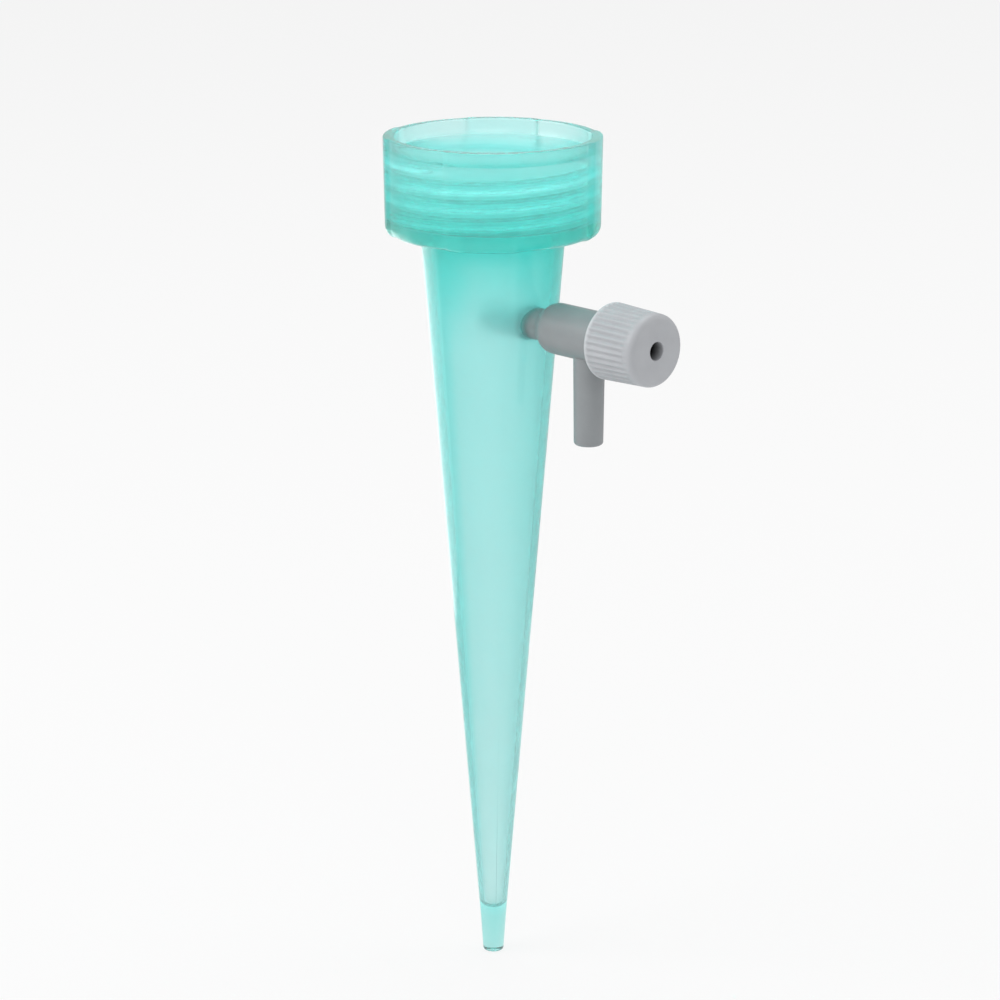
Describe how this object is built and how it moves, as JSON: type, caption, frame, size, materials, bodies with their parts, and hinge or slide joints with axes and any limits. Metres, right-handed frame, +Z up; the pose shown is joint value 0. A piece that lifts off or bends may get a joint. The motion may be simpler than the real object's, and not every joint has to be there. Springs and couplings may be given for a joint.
{
  "type": "plant watering spike",
  "caption": "Hollow translucent plant watering spike with a threaded cup for an upturned bottle and a side drip valve set by a ribbed screw knob.",
  "frame": {"origin": "centre of the spike's flat tip", "axes": "+Z up the spike's axis to the cup, +X along the valve from the spike to the knob"},
  "size_m": [0.0504, 0.032, 0.1316],
  "materials": {
    "teal_plastic": "translucent moulded polypropylene",
    "grey_plastic": "satin moulded plastic",
    "dark_plastic": "smooth moulded plastic",
    "black_rubber": "moulded rubber"
  },
  "bodies": {
    "spike": {"spike_body": "teal_plastic"},
    "valve": {"valve_body": "grey_plastic"},
    "needle": {"needle_stem": "dark_plastic", "stem_o_ring": "black_rubber"},
    "knob": {"valve_knob": "grey_plastic"}
  },
  "joints": [
    {"name": "valve_swivel", "type": "hinge", "parent": "spike", "child": "valve", "pos_m": [0.0098, 0, 0.1043], "axis": [1, 0, 0], "continuous": true},
    {"name": "needle_feed", "type": "slide", "parent": "valve", "child": "needle", "axis": [1, 0, 0], "range_m": [-0.0012, 0.0012]},
    {"name": "knob_turn", "type": "hinge", "parent": "needle", "child": "knob", "pos_m": [0.03, 0, 0.1043], "axis": [1, 0, 0], "range_deg": [-360, 360]}
  ],
  "couplings": [
    {"joint": "knob_turn", "follows": "needle_feed", "rad_per_m": 5236}
  ]
}
